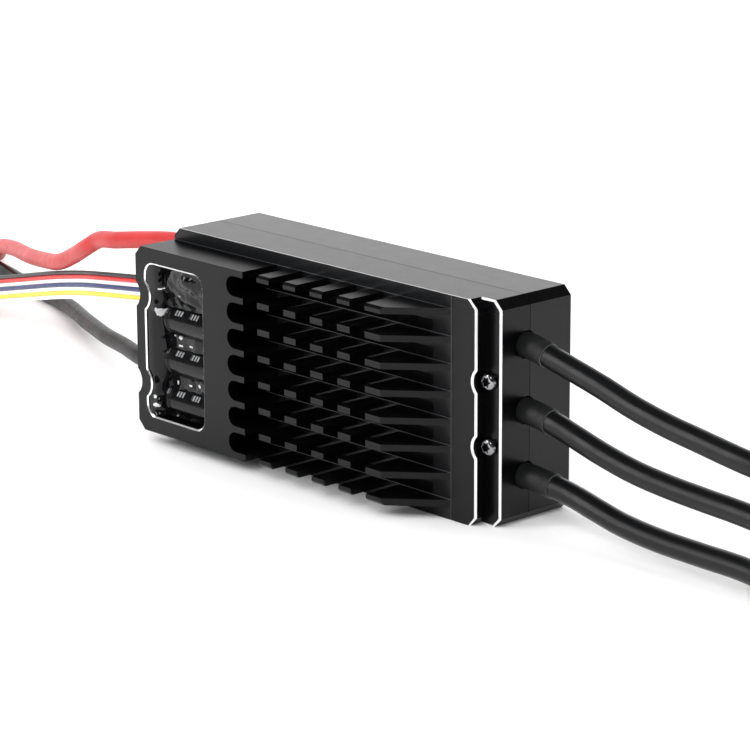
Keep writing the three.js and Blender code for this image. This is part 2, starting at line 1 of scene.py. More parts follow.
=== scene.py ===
from math import atan2, ceil, cos, exp, hypot, pi, radians, sin, sqrt
import bmesh
import bpy
from mathutils import Matrix, Vector
from mathutils.noise import noise as perlin


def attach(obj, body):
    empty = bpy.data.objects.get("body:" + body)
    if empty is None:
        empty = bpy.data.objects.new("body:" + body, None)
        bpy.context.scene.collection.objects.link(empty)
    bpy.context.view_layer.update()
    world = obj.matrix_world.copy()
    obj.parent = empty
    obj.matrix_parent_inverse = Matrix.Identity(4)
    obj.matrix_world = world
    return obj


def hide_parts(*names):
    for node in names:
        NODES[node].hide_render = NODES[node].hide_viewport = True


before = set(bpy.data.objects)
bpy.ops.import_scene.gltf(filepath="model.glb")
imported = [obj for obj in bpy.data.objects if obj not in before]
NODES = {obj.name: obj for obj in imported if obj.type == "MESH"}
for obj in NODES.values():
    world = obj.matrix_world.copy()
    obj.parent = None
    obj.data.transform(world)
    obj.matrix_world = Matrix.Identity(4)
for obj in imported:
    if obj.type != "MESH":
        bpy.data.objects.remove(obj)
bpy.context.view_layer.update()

MM = 0.001

# ---- Dimensions of the part, in millimetres ----
CENTRE_Z = 30.5
TOP_Z = 61
BLOCK_TOP = 57.4  # top of the raised front block and of the highest fin
PLATEAU_Y = -8.6  # floors of the fin slots, and the flat face at their right end
FIN_PITCH = 7.4
SLOT_WIDTH = 5.65
CROSS_END = 31  # right end of the last cross slot in the fins
RAMP_END = 50.6  # where the ramps of the fins come down to the plateau
SHELF_Y = -4.8
CAN_Y = -13.6
CAN_PITCH = 11.8
LOWEST_CAN_Z = CENTRE_Z - 1.5 * CAN_PITCH
RIM_Y = -21  # face of the front block, where the window's rim is cut
RIM_CUT = (0.3, 0.45)  # depth and width of the cut edge of the rim
RESIN_Y = -17  # level that the poured surface swells from
RESIN_BACK_Y = -2.7
RESIN_BOX = {"left": -60.45, "right": -36.25, "low": 8.75, "high": 52.4}
SCREW_HEAD = {"shelf_x": 61.3, "shelf_rise": 8.8, "rear_x": -59.4, "rear_rise": 12.75}
REAR_SEAT_Y = 19.02
PHASE_Y = 4.5
PHASE_Z = [48.1, 30.45, 12.8]
LETTERS = "abc"
STRAND_PITCH = 1.27
CONTACT_PITCH = 1.77


# ---- Camera ----
def make_camera():
    azimuth, elevation, roll = radians(47.42), radians(15.17), radians(-0.29)
    back = Vector((sin(azimuth) * cos(elevation), -cos(azimuth) * cos(elevation), sin(elevation)))
    right = Vector((cos(azimuth), sin(azimuth), 0))
    up = back.cross(right)
    right, up = right * cos(roll) + up * sin(roll), up * cos(roll) - right * sin(roll)
    data = bpy.data.cameras.new("camera")
    data.sensor_width = 36
    data.lens = 150.37
    data.clip_start, data.clip_end = 0.01, 50
    camera = bpy.data.objects.new("camera", data)
    bpy.context.scene.collection.objects.link(camera)
    camera.matrix_world = Matrix.Translation((0.61585, -0.5549, 0.25273)) @ Matrix(
        (right, up, back)
    ).transposed().to_4x4()
    bpy.context.scene.camera = camera


make_camera()


# ---- Materials ----
class Shader:
    """A Principled material whose colour, roughness and bump come from procedural textures."""

    def __init__(self, name, color, roughness, **inputs):
        self.material = bpy.data.materials.new(name)
        self.material.use_nodes = True
        self.material.diffuse_color = (*color, 1)
        self.tree = self.material.node_tree
        self.bsdf = self.tree.nodes["Principled BSDF"]
        self.bsdf.inputs["Base Color"].default_value = (*color, 1)
        self.bsdf.inputs["Roughness"].default_value = roughness
        for key, value in inputs.items():
            self.bsdf.inputs[key.replace("_", " ")].default_value = value
        self.place = self.node("TexCoord").outputs["Object"]
        self.bump_out = None

    def node(self, kind, **settings):
        made = self.tree.nodes.new("ShaderNode" + kind)
        for key, value in settings.items():
            setattr(made, key, value)
        return made

    def link(self, source, target):
        self.tree.links.new(source, target)

    def stretched(self, scale):
        mapping = self.node("Mapping")
        mapping.inputs["Scale"].default_value = scale
        self.link(self.place, mapping.inputs["Vector"])
        return mapping.outputs["Vector"]

    def noise(self, scale, detail=3.0, rough=0.5, stretch=None):
        """Noise from 0 to 1, with scale blobs a metre."""
        made = self.node("TexNoise")
        made.inputs["Scale"].default_value = scale
        made.inputs["Detail"].default_value = detail
        made.inputs["Roughness"].default_value = rough
        self.link(self.stretched(stretch) if stretch else self.place, made.inputs["Vector"])
        return made.outputs["Fac"]

    def ramp(self, source, stops):
        made = self.node("ValToRGB")
        while len(made.color_ramp.elements) < len(stops):
            made.color_ramp.elements.new(0.5)
        for element, (at, color) in zip(made.color_ramp.elements, stops):
            element.position = at
            element.color = (*color, 1)
        self.link(source, made.inputs["Fac"])
        return made.outputs["Color"]

    def math(self, operation, *inputs):
        made = self.node("Math", operation=operation)
        for socket, value in zip(made.inputs, inputs):
            if isinstance(value, (int, float)):
                socket.default_value = value
            else:
                self.link(value, socket)
        return made.outputs[0]

    def split(self):
        made = self.node("SeparateXYZ")
        self.link(self.place, made.inputs[0])
        return made.outputs

    def spread(self, source, low, high):
        """Maps the middle of a noise to the range from low to high."""
        made = self.node("MapRange")
        made.inputs["From Min"].default_value = 0.3
        made.inputs["From Max"].default_value = 0.7
        made.inputs["To Min"].default_value = low
        made.inputs["To Max"].default_value = high
        self.link(source, made.inputs["Value"])
        return made.outputs["Result"]

    def color(self, source, low, high):
        self.link(self.ramp(source, [(0.3, low), (0.7, high)]), self.bsdf.inputs["Base Color"])
        return self

    def layer(self, mask, color):
        """Puts another colour over the base colour where the mask is 1."""
        made = self.node("Mix", data_type="RGBA")
        base = self.bsdf.inputs["Base Color"].links[0].from_socket
        self.link(mask, made.inputs[0])
        self.link(base, made.inputs[6])
        self.link(color, made.inputs[7])
        self.link(made.outputs[2], self.bsdf.inputs["Base Color"])

    def rough(self, source, low, high):
        self.link(self.spread(source, low, high), self.bsdf.inputs["Roughness"])
        return self

    def bump(self, source, depth, strength=1.0):
        """Adds relief of that depth in metres."""
        made = self.node("Bump")
        made.inputs["Strength"].default_value = strength
        made.inputs["Distance"].default_value = depth
        self.link(source, made.inputs["Height"])
        if self.bump_out:
            self.link(self.bump_out, made.inputs["Normal"])
        self.bump_out = made.outputs["Normal"]
        self.link(self.bump_out, self.bsdf.inputs["Normal"])
        return self


def anodised(name, ior):
    """Black anodising. Floors, ledges and edges are painted lighter by their place on the part, which
    stands in for reflections and stays the same in every view."""
    s = Shader(name, (0.0012, 0.0013, 0.0016), 0.25, IOR=ior)
    s.color(s.noise(90, 4), (0.0009, 0.001, 0.0013), (0.0016, 0.0017, 0.0021))
    x, y, z = s.split()

    def near(value, place, reach=0.1):
        return s.math("COMPARE", value, place * MM, reach * MM)

    def beyond(value, place):
        return s.math("GREATER_THAN", value, place * MM)

    def both(one, other):
        return s.math("MULTIPLY", one, other)

    def lighten(mask, low, high):
        s.layer(mask, s.ramp(grain, [(0.3, low), (0.7, high)]))

    milled = both(near(z, BLOCK_TOP), 0.09)
    s.link(s.math("ADD", s.spread(s.noise(240, 5, 0.6), 0.235, 0.265), milled), s.bsdf.inputs["Roughness"])
    s.bump(s.noise(5200, 2, 0.6), 0.000008, 0.25)
    grain = s.noise(3000, 3, 0.6)
    plateau = near(y, PLATEAU_Y, 0.12)
    floors = both(plateau, s.math("LESS_THAN", x, (RAMP_END - 0.1) * MM))
    lighten(floors, (0.004, 0.0042, 0.0047), (0.006, 0.0063, 0.007))
    open_floors = both(floors, s.math("MAXIMUM", beyond(x, CROSS_END), beyond(z, BLOCK_TOP - 0.1)))
    lighten(open_floors, (0.006, 0.0063, 0.007), (0.009, 0.0093, 0.0102))
    slot_low = CENTRE_Z - SLOT_WIDTH / 2
    in_pitch = s.math("FRACT", s.math("DIVIDE", s.math("SUBTRACT", z, slot_low * MM), FIN_PITCH * MM))
    half_ledge = 0.1 / FIN_PITCH
    ledge = both(floors, s.math("COMPARE", in_pitch, half_ledge, half_ledge))
    lighten(ledge, (0.05, 0.052, 0.055), (0.08, 0.083, 0.088))
    ramp_foot = both(plateau, near(x, RAMP_END))
    lighten(ramp_foot, (0.035, 0.035, 0.036), (0.055, 0.055, 0.057))
    top_edge = both(near(y, PLATEAU_Y + 0.05), beyond(z, TOP_Z - 0.12))
    lighten(top_edge, (0.42, 0.42, 0.43), (0.53, 0.53, 0.54))
    return s.material


def cut_edge(name, metallic):
    """Bright aluminium where the anodising has been cut away."""
    s = Shader(name, (0.93, 0.93, 0.94), 0.22, Metallic=metallic)
    s.color(s.noise(500, 3), (0.9, 0.9, 0.91), (0.97, 0.97, 0.98))
    return s.rough(s.noise(900, 3, stretch=(1, 8, 1)), 0.16, 0.28).material


def metal(name, color, roughness, worn, stretch=None):
    s = Shader(name, color, roughness, Metallic=1.0)
    s.color(s.noise(400, 4), worn, color)
    s.rough(s.noise(900, 4, 0.6, stretch), roughness * 0.75, roughness * 1.3)
    return s.bump(s.noise(1800, 3, stretch=stretch), 0.00001, 0.5).material


def rubber(name, color, other, roughness, grain, depth, ior=1.38):
    s = Shader(name, color, roughness, IOR=ior)
    s.color(s.noise(130, 4), color, other)
    s.rough(s.noise(300, 4, 0.6), roughness * 0.85, roughness * 1.15)
    s.bump(s.noise(110, 2), 0.00012, 0.4)
    return s.bump(s.noise(grain, 3, 0.6), depth, 0.6).material


def plastic(name, color, other, roughness=0.45):
    s = Shader(name, color, roughness)
    s.color(s.noise(200, 3), color, other)
    s.rough(s.noise(700, 3), roughness * 0.85, roughness * 1.15)
    return s.bump(s.noise(2600, 2), 0.000012, 0.5).material


def circuit_board():
    s = Shader("solder_mask", (0.01, 0.07, 0.03), 0.35, Coat_Weight=0.3)
    tracks = s.node("TexBrick")
    tracks.inputs["Scale"].default_value = 120
    tracks.inputs["Color1"].default_value = (0.008, 0.06, 0.026, 1)
    tracks.inputs["Color2"].default_value = (0.01, 0.075, 0.032, 1)
    tracks.inputs["Mortar"].default_value = (0.02, 0.11, 0.05, 1)
    s.link(s.place, tracks.inputs["Vector"])
    s.link(tracks.outputs["Color"], s.bsdf.inputs["Base Color"])
    return s.rough(s.noise(500, 3), 0.3, 0.42).material


def potting():
    s = Shader("potting_resin", (0.002, 0.0021, 0.0026), 0.07, IOR=1.36)
    s.color(s.noise(300, 3), (0.0015, 0.0016, 0.002), (0.004, 0.0042, 0.005))
    s.rough(s.noise(700, 3), 0.05, 0.11)
    return s.bump(s.noise(420, 3), 0.00005, 0.4).material


def can_sleeve():
    """Glossy shrunk film with rows of short light dashes."""
    s = Shader("can_sleeve", (0.003, 0.003, 0.0034), 0.2, IOR=1.34)
    x, y, z = s.split()
    group_pitch, dash_pitch = 6.6 * MM, 1.15 * MM
    above = s.math("SUBTRACT", z, LOWEST_CAN_Z * MM)
    row = s.math("FRACT", s.math("DIVIDE", above, CAN_PITCH * MM))
    in_row = s.math("COMPARE", row, 0.25, 0.055)
    group = s.math("COMPARE", s.math("FRACT", s.math("DIVIDE", x, group_pitch)), 0.42, 0.26)
    dash = s.math("COMPARE", s.math("FRACT", s.math("DIVIDE", x, dash_pitch)), 0.5, 0.3)
    mark = s.math("MULTIPLY", s.math("MULTIPLY", in_row, group), dash)
    front = s.math("LESS_THAN", y, CAN_Y * MM)
    mark = s.math("MULTIPLY", s.math("MULTIPLY", mark, front), s.spread(s.noise(1500, 2), 0.5, 1))
    s.link(s.ramp(mark, [(0, (0.003, 0.003, 0.0034)), (1, (0.34, 0.35, 0.36))]), s.bsdf.inputs["Base Color"])
    s.rough(s.noise(600, 3), 0.16, 0.26)
    return s.bump(s.noise(260, 2), 0.00015, 0.4).material


ANODISED = anodised("anodised_black", 1.298)
ANODISED_REAR = anodised("anodised_rear", 1.335)
RESIN = potting()
# Pale flakes on the resin, placed where glints show: part pale adhesive, part painted highlight.
PALE_FLAKE_AND_GLINT = plastic("pale_adhesive_and_glint", (0.5, 0.5, 0.52), (0.72, 0.72, 0.74), 0.35)
CAN_SLEEVE = can_sleeve()
CUT_EDGE = cut_edge("cut_edge", 0.3)
CUT_RIM = cut_edge("cut_rim", 0.8)
STEEL = metal("screw_steel", (0.34, 0.34, 0.35), 0.2, (0.22, 0.22, 0.23))
# Near-black metal for the insides of sockets and openings: painted shadow.
SOCKET_SHADOW = metal("socket_shadow", (0.02, 0.02, 0.021), 0.4, (0.012, 0.012, 0.012))
COPPER = metal("bare_copper", (0.8, 0.42, 0.25), 0.3, (0.6, 0.3, 0.18))
TIN = metal("tinned_metal", (0.78, 0.78, 0.79), 0.28, (0.62, 0.62, 0.64))
GOLD = metal("gold_plate", (0.9, 0.62, 0.25), 0.2, (0.8, 0.52, 0.2))
PHASE_RUBBER = rubber("phase_silicone", (0.0025, 0.0026, 0.003), (0.004, 0.0042, 0.0048), 0.34, 1500, 0.00001)
BATTERY_BLACK = rubber(
    "black_silicone", (0.003, 0.003, 0.0034), (0.005, 0.005, 0.0056), 0.4, 1500, 0.00001, 1.33
)
BATTERY_RED = rubber("red_silicone", (0.46, 0.022, 0.022), (0.54, 0.034, 0.032), 0.4, 1500, 0.00001)
SLEEVE = rubber("sleeve_rubber", (0.006, 0.0062, 0.0068), (0.0095, 0.0098, 0.0105), 0.5, 2400, 0.00002, 1.4)
# The boot's end rim is a lighter rubber: a painted highlight along the rim.
SLEEVE_RIM_HIGHLIGHT = rubber("sleeve_rim_highlight", (0.05, 0.05, 0.052), (0.085, 0.085, 0.088), 0.5, 2400, 0.00001, 1.4)
BLACK_PLASTIC = plastic("black_plastic", (0.016, 0.016, 0.017), (0.024, 0.024, 0.025))
EPOXY = plastic("epoxy_package", (0.02, 0.02, 0.021), (0.03, 0.03, 0.031), 0.6)
PAD = plastic("thermal_pad", (0.24, 0.32, 0.42), (0.29, 0.38, 0.48), 0.8)
BOARD = circuit_board()


# ---- Mesh helpers (lengths in millimetres until the object is made) ----
def new_object(name, points, faces, material, smooth=True):
    mesh = bpy.data.meshes.new(name)
    mesh.from_pydata([tuple(c * MM for c in p) for p in points], [], faces)
    mesh.validate()
    if smooth:
        mesh.polygons.foreach_set("use_smooth", [True] * len(mesh.polygons))
    for made in material if isinstance(material, list) else [material]:
        mesh.materials.append(made)
    made = bpy.data.objects.new(name, mesh)
    bpy.context.scene.collection.objects.link(made)
    return made


def face_out(thing):
    work = bmesh.new()
    work.from_mesh(thing.data)
    bmesh.ops.recalc_face_normals(work, faces=work.faces)
    work.to_mesh(thing.data)
    work.free()
    return thing


def finish_piece(thing, slot, *replaced):
    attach(thing, "root")
    if replaced:
        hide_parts(*replaced)
    return thing


def crease(thing, degrees=32):
    """Keeps edges sharper than that angle sharp under smooth shading."""
    thing.data.set_sharp_from_angle(angle=radians(degrees))
    return thing


def bevelled(thing, width, segments=2, angle=32, weld=False):
    """Rounds the edges. A CAD mesh is welded first, and its flat faces are made whole."""
    if weld:
        thing.modifiers.new("weld", "WELD").merge_threshold = 1e-6
        flat = thing.modifiers.new("flat", "DECIMATE")
        flat.decimate_type = "DISSOLVE"
        flat.angle_limit = radians(0.5)
        flat.delimit = {"MATERIAL"}
    made = thing.modifiers.new("bevel", "BEVEL")
    made.width = width * MM
    made.segments = segments
    made.limit_method = "ANGLE"
    made.angle_limit = radians(angle)
    level = thing.modifiers.new("level", "WEIGHTED_NORMAL")
    level.mode = "FACE_AREA"
    level.weight = 100
    return thing


def rings(name, loops, material, caps=(True, True)):
    """A skin over loops that have the same number of points."""
    n = len(loops[0])
    points = [p for loop in loops for p in loop]
    faces = []
    for i in range(len(loops) - 1):
        for k in range(n):
            a, b = i * n + k, i * n + (k + 1) % n
            faces.append((a, b, b + n, a + n))
    if caps[0]:
        faces.append(tuple(reversed(range(n))))
    if caps[1]:
        faces.append(tuple(range((len(loops) - 1) * n, len(loops) * n)))
    return face_out(new_object(name, points, faces, material))


def across(direction):
    """Two unit vectors square to a direction."""
    side = direction.cross(Vector((0, 0, 1)) if abs(direction.z) < 0.9 else Vector((1, 0, 0))).normalized()
    return side, side.cross(direction)


def smooth_route(route, step):
    """Centripetal Catmull-Rom points along a route, about step apart."""
    points = [Vector(p) for p in route]
    points = [points[0] * 2 - points[1]] + points + [points[-1] * 2 - points[-2]]
    out = []
    for i in range(1, len(points) - 2):
        p = points[i - 1 : i + 3]
        t = [0.0]
        for a, b in zip(p, p[1:]):
            t.append(t[-1] + max((b - a).length ** 0.5, 1e-6))
        count = max(2, ceil((p[2] - p[1]).length / step))
        for k in range(count):
            x = t[1] + (t[2] - t[1]) * k / count
            a = [p[j] + (p[j + 1] - p[j]) * ((x - t[j]) / (t[j + 1] - t[j])) for j in range(3)]
            b = [a[j] + (a[j + 1] - a[j]) * ((x - t[j]) / (t[j + 2] - t[j])) for j in range(2)]
            out.append(b[0] + (b[1] - b[0]) * ((x - t[1]) / (t[2] - t[1])))
    out.append(points[-2])
    return out


def length_of(points):
    return sum((b - a).length for a, b in zip(points, points[1:]))


def headings(points):
    ends = [points[0]] + points + [points[-1]]
    return [(ends[i + 2] - ends[i]).normalized() for i in range(len(points))]


def swept(name, line, radii, material, sides=40):
    """A round tube along points, whose radius may change from point to point or step at one."""
    tangents = headings(line)
    side = across(tangents[0])[0]
    loops = []
    for point, tangent, radius in zip(line, tangents, radii):
        side = (side - tangent * side.dot(tangent)).normalized()
        other = tangent.cross(side)
        angles = [2 * pi * k / sides for k in range(sides)]
        loops.append([point + (side * cos(a) + other * sin(a)) * radius for a in angles])
    return crease(rings(name, loops, material), 50)


# ---- Leads ----
SLEEVE_ENDS = [(73, 46.6), (74.1, 29.2), (75.6, 12)]
PHASE_ROUTES = [
    [
        (73.3, 4.5, 46.5), (77, 4.5, 45.7), (82, 4.5, 44.5), (92, 4.5, 42), (102.9, 4.5, 38.9),
        (113.7, 4.5, 36.6), (125.4, 4.5, 34.8), (138.1, 4.5, 32.9), (148, 5.4, 31.2), (158, 7.4, 28.3),
        (169, 10.4, 23.4), (179, 13.6, 16.8), (187, 16, 10.7), (194, 17.8, 6.2), (201, 19.4, 3.9),
        (208, 20.9, 3.6), (212, 21.7, 3.6),
    ],
    [
        (74.4, 4.5, 29.1), (78, 4.5, 28.3), (82, 4.5, 27.2), (92.1, 4.5, 24.5), (103.2, 4.5, 22.2),
        (114.3, 4.5, 20.9), (126.1, 4.5, 20.1), (138.7, 4.5, 19.4), (150, 4.5, 18.2), (162, 4.5, 15.3),
        (173, 4.5, 11.3), (183, 4.5, 7.2), (192, 4.5, 4.5), (201, 4.5, 3.65), (210, 4.5, 3.6),
        (217, 4.5, 3.6),
    ],
    [
        (75.9, 4.5, 11.9), (80, 4.5, 11.4), (84.2, 4.5, 10.6), (91.2, 4.5, 9), (99.4, 4.5, 7.3),
        (111.2, 4.5, 6.1), (126.8, 4.5, 5.6), (139.3, 4.4, 5.4), (150, 3.7, 4.6), (161, 1.7, 3.9),
        (172, -1.1, 3.6), (183, -4.1, 3.6), (194, -6.9, 3.6), (205, -9.4, 3.6), (217, -11.9, 3.6),
    ],
]
RED_ROUTE = [
    (-64, 5.8, 51.5), (-72, 5.8, 51.8), (-81.6, 5.8, 51.6), (-96.7, 5.8, 49.4), (-108.5, 6.2, 47.3),
    (-120.5, 8.9, 45), (-126.5, 9.2, 42), (-140.5, 14.2, 36), (-154, 18.8, 31), (-173, 27.2, 27),
    (-195, 37.6, 23), (-225.5, 53.4, 18), (-247, 64, 13.6), (-261.5, 73.4, 8.6), (-271, 79, 4.6),
    (-279, 83, 2.9), (-286, 86.5, 2.7),
]
BLACK_ROUTE = [
    (-64, 5.8, 9.5), (-74, 6.2, 9.7), (-88, 8.7, 9.8), (-100, 12.2, 9.7), (-111, 15.4, 9.5),
    (-125.1, 21.1, 8.8), (-141.5, 27.4, 7.5), (-156.5, 34.4, 6.2), (-171.2, 41.4, 5),
    (-191, 51, 3.7), (-204.5, 56.4, 2.9), (-231.5, 62.9, 2.7), (-250, 68, 2.7), (-262, 71, 2.7),
    (-275, 74, 2.7),
]
RIBBON_ROUTE = [
    (-64.5, 5.8, 37), (-72, 5.8, 36.9), (-84, 6.2, 35.5), (-100.5, 7.4, 33.4), (-123.5, 10.4, 30),
    (-135, 13.4, 27.8), (-148, 16.9, 25), (-159.5, 19.4, 22.4), (-180, 23.9, 17.4),
    (-198.5, 27.9, 12.9), (-207.8, 30.2, 10.4), (-220, 33.6, 6.4), (-232, 37, 3.4),
    (-243, 40.2, 1.9), (-254, 43.5, 1.4), (-266, 47, 1.4),
]


def cord_curve(name, route, radius, material, slot, node, lead=0.0):
    """A round lead as a curve, from lead millimetres before the route's start."""
    line = smooth_route(route, 1.2)
    if lead:
        line = [line[0] - headings(line)[0] * lead] + line
    data = bpy.data.curves.new(name, "CURVE")
    data.dimensions = "3D"
    data.bevel_depth = radius * MM
    data.bevel_resolution = 10
    data.use_fill_caps = True
    spline = data.splines.new("POLY")
    spline.points.add(len(line) - 1)
    for target, point in zip(spline.points, line):
        target.co = (*(point * MM), 1)
    spline.use_smooth = True
    data.materials.append(material)
    made = bpy.data.objects.new(name, data)
    bpy.context.scene.collection.objects.link(made)
    finish_piece(made, slot, node)
    return made


def phase_sleeve(i):
    z = PHASE_Z[i]
    end_x, end_z = SLEEVE_ENDS[i]
    route = [
        (58.6, PHASE_Y, z), (62, PHASE_Y, z), (65.5, PHASE_Y, z - 0.05),
        ((66 + end_x) / 2, PHASE_Y, z - (z - end_z) * 0.42), (end_x, PHASE_Y, end_z),
    ]
    line = smooth_route(route, 0.35)
    total = length_of(line)
    radii, walked = [], 0.0
    for a, b in zip(line, line[1:] + [line[-1]]):
        left = total - walked
        swell = 0.06 * exp(-(((left - 1.1) / 0.7) ** 2)) - 0.05 * exp(-(((left - 2.6) / 0.9) ** 2))
        radii.append(3.45 + swell)
        walked += (b - a).length
    heading = headings(line)[-1]
    tip = line[-1]
    line += [tip + heading * 0.14, tip + heading * 0.2, tip + heading * 0.16, tip - heading * 0.5]
    radii += [3.4, 3.3, 3.17, 3.14]
    made = swept("phase_sleeve_%s_detail" % LETTERS[i], line, radii, [SLEEVE, SLEEVE_RIM_HIGHLIGHT], 48)
    # The end face of the boot takes the lighter rim rubber, a painted highlight.
    rim_start = tip + heading * 0.12
    for face in made.data.polygons:
        face.material_index = int((face.center / MM - rim_start).dot(heading) > 0)
    return finish_piece(made, "sleeve", "phase_sleeve_" + LETTERS[i])


def bullet(i, end, heading):
    """A gold bullet connector: a solder cup, a collar, and a slotted spring pin."""
    u, v = across(heading)
    profile = [
        (0.1, 3.15), (0, 3.35), (0.25, 3.45), (6.6, 3.45), (7.1, 3.6), (8.3, 3.6), (8.6, 3.35),
        (9.0, 2.75), (10.5, 2.85), (13.5, 3.12), (16.8, 2.95), (18.4, 2.6), (19.5, 2.0), (20, 1.2),
        (20.1, 0.4),
    ]
    sides, slit_step, slit_depth = 72, 9, 0.35
    loops = []
    for along, radius in profile:
        loop = []
        for k in range(sides):
            angle = 2 * pi * k / sides
            slit = 9.2 < along < 18 and k % slit_step == 0
            r = radius - (slit_depth if slit else 0)
            loop.append(end + heading * along + (u * cos(angle) + v * sin(angle)) * r)
        loops.append(loop)
    name = "phase_bullet_" + LETTERS[i]
    return finish_piece(crease(rings(name + "_detail", loops, GOLD), 40), "gold", name)


def make_phase_leads():
    for i, route in enumerate(PHASE_ROUTES):
        sleeve = phase_sleeve(i)
        line = smooth_route(route, 1.2)
        pin = bullet(i, line[-1] + headings(line)[-1] * 0.3, headings(line)[-1])
        letter = LETTERS[i]
        cord_curve(
            "phase_cable_" + letter, route, 3.1, PHASE_RUBBER, "black_silicone",
            "phase_lead_" + letter, lead=2,
        )


def stripped_end(name, route, radius):
    """Tinned strands that stick out of a stripped lead."""
    line = smooth_route(route, 1.2)
    end, heading = line[-1], headings(line)[-1]
    u, v = across(heading)
    sides = 60
    loops = []
    for along, scale in [(-0.5, 1), (0.2, 1), (2.5, 1.02), (4.5, 1.02), (5.6, 0.98), (6.1, 0.8), (6.3, 0.4)]:
        loop = []
        for k in range(sides):
            angle = 2 * pi * k / sides
            r = radius * scale * (1 + 0.05 * cos(angle * 15))
            turn = angle + along * 0.12
            loop.append(end + heading * along + (u * cos(turn) + v * sin(turn)) * r)
        loops.append(loop)
    return finish_piece(rings(name, loops, TIN), "tin")


def make_battery_leads():
    for colour, route, material, grommet in (
        ("red", RED_ROUTE, BATTERY_RED, "grommet_positive"),
        ("black", BLACK_ROUTE, BATTERY_BLACK, "grommet_negative"),
    ):
        tip = stripped_end("battery_%s_tip" % colour, route, 1.9)
        cord_curve(
            "battery_cable_" + colour, route, 2.6, material, colour + "_silicone",
            "battery_lead_" + colour,
        )


def box_mesh(points, faces, low, high):
    """Adds a box to a point and face list."""
    start = len(points)
    for x in (low[0], high[0]):
        for y in (low[1], high[1]):
            for z in (low[2], high[2]):
                points.append((x, y, z))
    for face in ((0, 1, 3, 2), (4, 6, 7, 5), (0, 4, 5, 1), (2, 3, 7, 6), (0, 2, 6, 4), (1, 5, 7, 3)):
        faces.append(tuple(start + i for i in face))


def make_plug():
    """A flat seven-way crimp plug on the end of the ribbon, with its contacts in windows."""
    points, faces, marks = [], [], []

    def add_box(low, high, mark=0):
        box_mesh(points, faces, low, high)
        marks.extend([mark] * 6)

    add_box((0, -9, -1.3), (2.6, 9, 1.3))
    add_box((2.6, -8.4, -1.3), (11.6, 8.4, 0.1))
    add_box((11.6, -8.4, -1.3), (14, 8.4, 1.3))
    for side in (-1, 1):
        add_box((2.6, min(side * 8.4, side * 6.2), 0.1), (11.6, max(side * 8.4, side * 6.2), 1.3))
        add_box((3.4, min(side * 9, side * 8.4), -0.8), (12.4, max(side * 9, side * 8.4), 0.2))
    for k in range(8):
        middle = (k - 3.5) * CONTACT_PITCH
        add_box((2.6, middle - 0.24, 0.1), (11.6, middle + 0.24, 1.25))
    add_box((6.4, -6.2, 0.1), (7.2, 6.2, 1.28))
    for k in range(7):
        middle = (k - 3) * CONTACT_PITCH
        add_box((3.0, middle - 0.5, 0.1), (6.0, middle + 0.5, 0.75), 1)
        add_box((7.6, middle - 0.42, 0.1), (11.2, middle + 0.42, 0.5), 1)
        # Near-black squares on the plug's face are painted shadow in the contact openings.
        add_box((13.4, middle - 0.45, -0.45), (14.05, middle + 0.45, 0.45), 2)
    made = new_object("signal_plug_detail", points, faces, [BLACK_PLASTIC, TIN, SOCKET_SHADOW])
    made.data.polygons.foreach_set("material_index", marks)
    line = smooth_route(RIBBON_ROUTE, 1.5)
    end, heading = line[-1], headings(line)[-1]
    turn = Matrix.Rotation(atan2(heading.y, heading.x), 4, "Z")
    made.data.transform(Matrix.Translation(Vector((end.x, end.y, 1.35)) * MM) @ turn)
    bevelled(made, 0.12)
    return finish_piece(made, "black_plastic", "signal_plug")


def make_ribbon():
    """Seven bonded strands, upright where they leave the case and flat where they lie down."""
    line = smooth_route(RIBBON_ROUTE, 1.5)
    tangents = headings(line)
    names = ["black", "red", "white", "navy", "white", "yellow", "white"]
    shades = {
        "black": (0.02, 0.02, 0.022), "red": (0.6, 0.02, 0.02), "white": (0.85, 0.85, 0.83),
        "navy": (0.02, 0.03, 0.12), "yellow": (0.9, 0.62, 0.05),
    }
    inks = {
        key: plastic("strand_" + key, value, tuple(min(1, c * 1.12 + 0.004) for c in value), 0.4)
        for key, value in shades.items()
    }
    order = list(inks)
    sides, strand_radius, twist_start, twist_length = 14, 0.655, -196, 30
    points, faces, marks = [], [], []
    for k, key in enumerate(names):
        shift = (3 - k) * STRAND_PITCH
        start = len(points)
        for point, tangent in zip(line, tangents):
            upright = (Vector((0, 0, 1)) - tangent * tangent.z).normalized()
            level = tangent.cross(upright)
            lie = min(1, max(0, (twist_start - point.x) / twist_length))
            lie = lie * lie * (3 - 2 * lie) * pi / 2
            width = upright * cos(lie) + level * sin(lie)
            thin = tangent.cross(width)
            middle = point + width * shift
            for j in range(sides):
                angle = 2 * pi * j / sides
                points.append(middle + (width * cos(angle) + thin * sin(angle)) * strand_radius)
        for i in range(len(line) - 1):
            for j in range(sides):
                a, b = start + i * sides + j, start + i * sides + (j + 1) % sides
                faces.append((a, b, b + sides, a + sides))
                marks.append(order.index(key))
        for ring in (0, len(line) - 1):
            faces.append(tuple(start + ring * sides + j for j in range(sides)))
            marks.append(order.index(key))
    made = new_object("signal_cable", points, faces, list(inks.values()))
    made.data.polygons.foreach_set("material_index", marks)
    face_out(made)
    finish_piece(crease(made, 50), "ribbon", "signal_ribbon", "signal_ribbon_tail")
    make_plug()


make_phase_leads()
make_battery_leads()
make_ribbon()


# ---- Case ----
def paint(name, material, width=0.0, segments=2):
    thing = NODES[name]
    thing.data.materials.clear()
    thing.data.materials.append(material)
    if width:
        thing.data.polygons.foreach_set("use_smooth", [True] * len(thing.data.polygons))
        bevelled(thing, width, segments, weld=True)
    return thing


